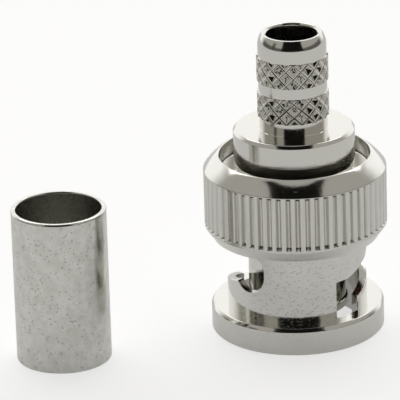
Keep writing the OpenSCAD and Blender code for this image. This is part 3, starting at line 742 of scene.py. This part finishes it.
class Tree:
    """Adds nodes to a node tree. Values may be numbers or sockets."""

    def __init__(self, tree):
        self.tree = tree

    def node(self, kind, **settings):
        n = self.tree.nodes.new(kind)
        for key, value in settings.items():
            setattr(n, key, value)
        return n

    def put(self, value, socket):
        if isinstance(value, bpy.types.NodeSocket):
            self.tree.links.new(value, socket)
        else:
            socket.default_value = value

    def math(self, operation, a, b=None, c=None):
        n = self.node("ShaderNodeMath", operation=operation)
        for i, v in enumerate((a, b, c)):
            if v is not None:
                self.put(v, n.inputs[i])
        return n.outputs[0]

    def step(self, value, start, end):
        """0 below start, 1 above end, smooth between them (start may be the larger)."""
        n = self.node("ShaderNodeMapRange", interpolation_type="SMOOTHSTEP")
        self.put(value, n.inputs["Value"])
        if start < end:
            settings = (start, end, 0.0, 1.0)
        else:
            settings = (end, start, 1.0, 0.0)
        for name, v in zip(("From Min", "From Max", "To Min", "To Max"), settings):
            n.inputs[name].default_value = v
        return n.outputs["Result"]

    def window(self, value, a, b, soft):
        """1 between a and b, 0 outside, soft at both ends."""
        rise = self.step(value, a - soft, a + soft)
        fall = self.step(value, b + soft, b - soft)
        return self.math("MULTIPLY", rise, fall)

    def mix(self, factor, a, b):
        n = self.node("ShaderNodeMix", data_type="RGBA")
        self.put(factor, n.inputs["Factor"])
        self.put(a if isinstance(a, bpy.types.NodeSocket) else (*a, 1.0), n.inputs["A"])
        self.put(b if isinstance(b, bpy.types.NodeSocket) else (*b, 1.0), n.inputs["B"])
        return n.outputs["Result"]

    def blend(self, factor, a, b):
        n = self.node("ShaderNodeMix", data_type="FLOAT")
        self.put(factor, n.inputs["Factor"])
        self.put(a, n.inputs["A"])
        self.put(b, n.inputs["B"])
        return n.outputs["Result"]

    def vector(self, x, y, z):
        n = self.node("ShaderNodeCombineXYZ")
        for i, v in enumerate((x, y, z)):
            self.put(v, n.inputs[i])
        return n.outputs[0]

    def noise(self, vector, scale, detail=2.0, rough=0.5):
        n = self.node("ShaderNodeTexNoise")
        self.put(vector, n.inputs["Vector"])
        n.inputs["Scale"].default_value = scale
        n.inputs["Detail"].default_value = detail
        n.inputs["Roughness"].default_value = rough
        return n.outputs["Fac"]

    def bump(self, height, size_mm, normal=None):
        n = self.node("ShaderNodeBump")
        n.inputs["Strength"].default_value = 1.0
        n.inputs["Distance"].default_value = size_mm * MM
        self.put(height, n.inputs["Height"])
        if normal is not None:
            self.put(normal, n.inputs["Normal"])
        return n.outputs["Normal"]


class Surface(Tree):
    """A material, with the cylindrical coordinates of the piece in mm."""

    def __init__(self, name, colour, metallic, roughness, axis=(0.0, 0.0)):
        self.mat = bpy.data.materials.new(name)
        self.mat.use_nodes = True
        super().__init__(self.mat.node_tree)
        self.shader = self.tree.nodes["Principled BSDF"]
        self.shader.inputs["Base Color"].default_value = (*colour, 1.0)
        self.shader.inputs["Metallic"].default_value = metallic
        self.shader.inputs["Roughness"].default_value = roughness
        coords = self.node("ShaderNodeTexCoord")
        parts = self.node("ShaderNodeSeparateXYZ")
        self.put(coords.outputs["Object"], parts.inputs[0])
        self.x = self.math("MULTIPLY_ADD", parts.outputs[0], 1 / MM, -axis[0])
        self.y = self.math("MULTIPLY_ADD", parts.outputs[1], 1 / MM, -axis[1])
        self.z = self.math("MULTIPLY", parts.outputs[2], 1 / MM)
        squares = self.math("MULTIPLY_ADD", self.x, self.x, self.math("MULTIPLY", self.y, self.y))
        self.r = self.math("SQRT", squares)
        self.turn = self.math("ARCTAN2", self.x, self.math("MULTIPLY", self.y, -1.0))
        self.place = self.vector(self.x, self.y, self.z)

    def lines_round(self, density, wander=0.25, detail=3.0):
        """Fine lines that run round the axis, as turning leaves them."""
        x, y = self.math("MULTIPLY", self.x, wander), self.math("MULTIPLY", self.y, wander)
        z = self.math("MULTIPLY", self.math("ADD", self.z, self.r), density)
        return self.noise(self.vector(x, y, z), 1.0, detail, 0.6)

    def lines_along(self, density, wander=0.6, detail=3.0):
        """Fine lines that run along the axis."""
        x, y = self.math("MULTIPLY", self.x, density), self.math("MULTIPLY", self.y, density)
        return self.noise(self.vector(x, y, self.math("MULTIPLY", self.z, wander)), 1.0, detail, 0.6)

    def finish(self, colour=None, roughness=None, normal=None):
        if colour is not None:
            self.put(colour, self.shader.inputs["Base Color"])
        if roughness is not None:
            self.put(roughness, self.shader.inputs["Roughness"])
        if normal is not None:
            self.put(normal, self.shader.inputs["Normal"])
        return self.mat


# ---------------------------------------------------------------- materials

NICKEL = (0.72, 0.71, 0.68)


def pitting(s, vector, density, share, soft=0.04):
    """Small sunken spots, 0 outside and 1 in the middle of a spot."""
    return s.step(s.noise(vector, density, 1.0, 0.4), 1 - share, 1 - share + soft)


def nut_material():
    s = Surface("plated_nut", NICKEL, 1.0, 0.13)
    skin = s.window(s.r, 5.4, 5.7, 0.03)
    sleeve = s.math("MULTIPLY", s.window(s.z, FLANGE_T + 0.05, UNDER_Z - 0.05, 0.05), skin)
    grip = s.math("MULTIPLY", s.window(s.z, GRIP_BOTTOM, GRIP_TOP, 0.08), s.step(s.r, 6.9, 6.95))
    floor = s.math("MULTIPLY", grip, s.step(s.r, GRIP_R - 0.03, GRIP_R - 0.08))
    soft = s.noise(s.place, 0.9, 2.0)
    grainy = s.noise(s.place, 5.0, 3.0, 0.55)
    height = s.math("ADD", soft, s.math("MULTIPLY", grainy, 0.3))
    normal = s.bump(height, 0.008)
    flat = s.vector(s.math("MULTIPLY", s.turn, SLEEVE_R * 0.5), s.z, 0.0)
    wall = s.window(s.r, FLANGE_R - 0.02, FLANGE_R + 0.02, 0.01)
    spotted = s.math("MAXIMUM", sleeve, s.math("MULTIPLY", wall, 0.3))
    spots = s.math("MULTIPLY", pitting(s, flat, 6.5, 0.37), spotted)
    normal = s.bump(s.math("MULTIPLY", spots, -1.0), 0.011, normal)
    turned = s.math("MULTIPLY", s.lines_round(14.0), s.math("SUBTRACT", 1.0, s.math("MAXIMUM", sleeve, grip)))
    normal = s.bump(turned, 0.002, normal)
    drawn = s.math("MULTIPLY", s.lines_along(12.0, 0.35), grip)
    normal = s.bump(drawn, 0.006, normal)
    dull = s.math("MULTIPLY_ADD", s.noise(s.place, 2.2, 4.0, 0.6), 0.08, 0.08)
    dull = s.math("ADD", dull, s.math("MULTIPLY", floor, 0.08))
    # painted shade: near-black colour at the rear end of each groove, standing in for the shade in the
    # groove's end pocket
    down = s.math("SUBTRACT", GRIP_TOP - 0.08, s.z)
    sunk = s.math("SUBTRACT", GRIP_R - 0.05, s.r)
    hollow = s.math("SUBTRACT", sunk, s.math("MULTIPLY", down, 0.8))
    near_top = s.math("MULTIPLY", grip, s.step(s.z, GRIP_TOP - 0.33, GRIP_TOP - 0.25))
    painted_groove_end_shade = s.math("MULTIPLY", near_top, s.step(hollow, 0.0, 0.04))
    tone = s.mix(s.math("MULTIPLY", s.noise(s.place, 0.7, 3.0), 0.7), (0.74, 0.735, 0.7), (0.66, 0.645, 0.6))
    tone = s.mix(s.step(s.lines_along(16.0, 0.25, 2.0), 0.45, 0.75), tone,
                 s.mix(s.math("MULTIPLY", grip, 0.5), tone, (0.42, 0.41, 0.37)))
    # painted shade: the groove floors are pulled a fifth of the way towards a darker grey
    tone = s.mix(s.math("MULTIPLY", floor, 0.2), tone, (0.5, 0.49, 0.45))
    # the grooves' rear ends get the painted shade colour
    tone = s.mix(painted_groove_end_shade, tone, (0.03, 0.03, 0.025))
    return s.finish(tone, dull, normal)


def body_material():
    s = Surface("plated_body", NICKEL, 1.0, 0.12)
    shoulder = s.math("MULTIPLY", s.window(s.z, SHOULDER_Z - 0.8, SHOULDER_TOP, 0.03), s.step(s.r, 4.4, 4.45))
    lower = s.math("MULTIPLY", shoulder, s.step(s.z, SHOULDER_Z + 2.3, SHOULDER_Z + 1.3))
    normal = s.bump(s.noise(s.place, 1.3, 3.0, 0.55), 0.004)
    share = s.blend(shoulder, 0.15, s.blend(lower, 0.6, 1.0))
    lines = s.math("MULTIPLY", s.lines_round(20.0, 0.12, 4.0), share)
    normal = s.bump(lines, 0.006, normal)
    dull = s.math("MULTIPLY_ADD", s.noise(s.place, 2.5, 4.0, 0.6), 0.08, 0.07)
    tone = s.mix(s.math("MULTIPLY", s.noise(s.place, 0.8, 3.0), 0.6), (0.73, 0.72, 0.68), (0.66, 0.645, 0.6))
    return s.finish(tone, dull, normal)


def ferrule_material():
    s = Surface("plated_ferrule", NICKEL, 1.0, 0.2, axis=FERRULE_AT)
    around = s.vector(s.math("MULTIPLY", s.turn, FERRULE_R), s.z, s.r)
    normal = s.bump(s.noise(s.place, 0.8, 3.0, 0.5), 0.016)
    normal = s.bump(s.lines_along(9.0, 0.5, 3.0), 0.006, normal)
    outside = s.step(s.r, FERRULE_R - 0.05, FERRULE_R - 0.02)
    specks = s.math("MULTIPLY", pitting(s, around, 4.4, 0.32), outside)
    normal = s.bump(s.math("MULTIPLY", specks, -1.0), 0.02, normal)
    slanted = s.vector(s.math("MULTIPLY_ADD", s.turn, FERRULE_R * 6.0, s.math("MULTIPLY", s.z, -3.0)),
                       s.math("MULTIPLY", s.z, 0.8), 0.0)
    scratched = s.step(s.noise(s.place, 0.5), 0.5, 0.65)
    scratches = s.math("MULTIPLY", s.step(s.noise(slanted, 1.0, 2.0, 0.6), 0.6, 0.7), scratched)
    normal = s.bump(s.math("MULTIPLY", scratches, -1.0), 0.008, normal)
    dull = s.math("MULTIPLY_ADD", s.noise(s.place, 3.0, 5.0, 0.65), 0.16, 0.1)
    tone = s.mix(s.step(s.noise(s.place, 1.2, 5.0, 0.65), 0.3, 0.7), (0.76, 0.755, 0.72), (0.64, 0.635, 0.59))
    tone = s.mix(s.math("MULTIPLY", specks, 0.35), tone, (0.36, 0.35, 0.32))
    inside = s.step(s.r, FERRULE_IN + 0.02, FERRULE_IN - 0.02)
    tone = s.mix(s.math("MULTIPLY", inside, 0.3), tone, (0.5, 0.48, 0.4))
    dull = s.math("ADD", dull, s.math("MULTIPLY", inside, 0.15))
    return s.finish(tone, dull, normal)


def plain_material(name, colour, metallic, roughness, grain, depth):
    s = Surface(name, colour, metallic, roughness)
    return s.finish(normal=s.bump(s.noise(s.place, grain, 3.0), depth))


looks = {
    "nickel_nut": nut_material(),
    "nickel_body": body_material(),
    "nickel_ferrule": ferrule_material(),
    "ptfe": plain_material("ptfe", (0.86, 0.86, 0.83), 0.0, 0.42, 3.0, 0.004),
    "gold_contact": plain_material("gold_contact", (0.86, 0.62, 0.28), 1.0, 0.16, 5.0, 0.002),
    "silicone": plain_material("silicone", (0.62, 0.17, 0.11), 0.0, 0.5, 4.0, 0.006),
    "spring_metal": plain_material("spring_metal", (0.56, 0.55, 0.53), 1.0, 0.24, 4.0, 0.002),
}
CAD_LOOKS = {
    "front_insulator": "ptfe", "rear_insulator": "ptfe", "centre_pin": "gold_contact", "gasket": "silicone",
    "wave_washer_front": "spring_metal", "wave_washer_rear": "spring_metal", "thrust_washer": "spring_metal",
}
for obj, look in ((nut_obj, "nickel_nut"), (rear_obj, "nickel_body"), (contact_obj, "nickel_body"),
                  (ferrule_obj, "nickel_ferrule")):
    obj.data.materials.clear()
    obj.data.materials.append(looks[look])
for name, look in CAD_LOOKS.items():
    mesh = bpy.data.objects[name].data
    mesh.materials.clear()
    mesh.materials.append(looks[look])

# ---------------------------------------------------------------- floor, world and camera

floor_mesh = bpy.data.meshes.new("floor")
FLOOR_REACH = 3.0
corners = [(x * FLOOR_REACH, y * FLOOR_REACH, 0) for x, y in ((-1, -1), (1, -1), (1, 1), (-1, 1))]
floor_mesh.from_pydata(corners, [], [(0, 1, 2, 3)])
floor_obj = bpy.data.objects.new("floor", floor_mesh)
floor_obj.location.z = -0.02 * MM
scene.collection.objects.link(floor_obj)
floor_mat = bpy.data.materials.new("white_table")
floor_mat.use_nodes = True
t = Tree(floor_mat.node_tree)
t.tree.nodes.remove(t.tree.nodes["Principled BSDF"])
diffuse = t.node("ShaderNodeBsdfDiffuse")
diffuse.inputs["Color"].default_value = (0.55, 0.55, 0.545, 1)
glow = t.node("ShaderNodeEmission")
glow.inputs["Color"].default_value = (1, 1, 1, 1)
path = t.node("ShaderNodeLightPath")
seen = t.math("MAXIMUM", path.outputs["Is Glossy Ray"], path.outputs["Is Transmission Ray"])
direct = t.math("MULTIPLY", path.outputs["Is Camera Ray"], 0.66)
t.put(t.math("MAXIMUM", direct, t.math("MULTIPLY", seen, 0.33)), glow.inputs["Strength"])
both = t.node("ShaderNodeAddShader")
t.put(diffuse.outputs[0], both.inputs[0])
t.put(glow.outputs[0], both.inputs[1])
t.put(both.outputs[0], t.tree.nodes["Material Output"].inputs["Surface"])
floor_mesh.materials.append(floor_mat)

world = bpy.data.worlds.new("studio")
scene.world = world
world.use_nodes = True
w = Tree(world.node_tree)
way = w.node("ShaderNodeSeparateXYZ")
w.put(w.node("ShaderNodeTexCoord").outputs["Generated"], way.inputs[0])
wx, wy, wz = way.outputs[0], way.outputs[1], way.outputs[2]
# the white sweep and the soft box behind the object, a grey room at both sides, the dark room in front of it,
# and a narrow dark strip at the left
sweep = w.mix(w.step(wz, 0.45, 0.6), (1.2, 1.2, 1.19), (0.7, 0.69, 0.66))
far = w.step(wy, 0.3, 0.72)
grey = w.mix(w.step(wz, 0.3, 0.2), (0.43, 0.415, 0.385), (0.12, 0.115, 0.105))
room = w.mix(far, grey, sweep)
box = w.math("MULTIPLY", w.step(wy, 0.4, 0.5), w.window(wz, 0.62, 0.86, 0.04))
room = w.mix(box, room, (2.4, 2.4, 2.37))
room = w.mix(w.step(wz, 0.93, 0.96), room, (0.43, 0.42, 0.4))
half = w.math("MULTIPLY_ADD", wz, -0.28, 0.64)
beyond = w.math("SUBTRACT", w.math("ABSOLUTE", wx), half)
dark = w.math("MULTIPLY", w.step(beyond, 0.02, -0.02), w.step(wy, 0.08, 0.0))
dark = w.math("MULTIPLY", dark, w.window(wz, 0.06, 0.965, 0.01))
room = w.mix(dark, room, (0.007, 0.007, 0.006))
bearing = w.math("ARCTAN2", wx, w.math("MULTIPLY", wy, -1.0))
strip = w.window(bearing, math.radians(-72), math.radians(-60), 0.04)
strip = w.math("MULTIPLY", strip, w.window(wz, 0.1, 0.5, 0.03))
room = w.mix(w.math("MULTIPLY", strip, 0.8), room, (0.05, 0.05, 0.05))
ray = w.node("ShaderNodeLightPath")
colour = w.mix(ray.outputs["Is Camera Ray"], room, (1.0, 1.0, 1.0))
back = world.node_tree.nodes["Background"]
w.put(colour, back.inputs["Color"])
back.inputs["Strength"].default_value = 1.0

cam_data = bpy.data.cameras.new("camera")
cam_data.sensor_width = 36.0
cam_data.lens = 424.152
cam_data.clip_start = 0.01
cam_data.clip_end = 10.0
cam = bpy.data.objects.new("camera", cam_data)
scene.collection.objects.link(cam)
forward = Vector((0.0, 0.93108, -0.36481))
up = Vector((0.03184, 0.36462, 0.93061))
right = forward.cross(up).normalized()
up = right.cross(forward).normalized()
place = Vector((-7.568, -347.991, 147.144)) * MM
cam.matrix_world = Matrix((
    (right.x, up.x, -forward.x, place.x),
    (right.y, up.y, -forward.y, place.y),
    (right.z, up.z, -forward.z, place.z),
    (0, 0, 0, 1)))
scene.camera = cam

scene.view_settings.view_transform = "Standard"
bpy.context.view_layer.update()
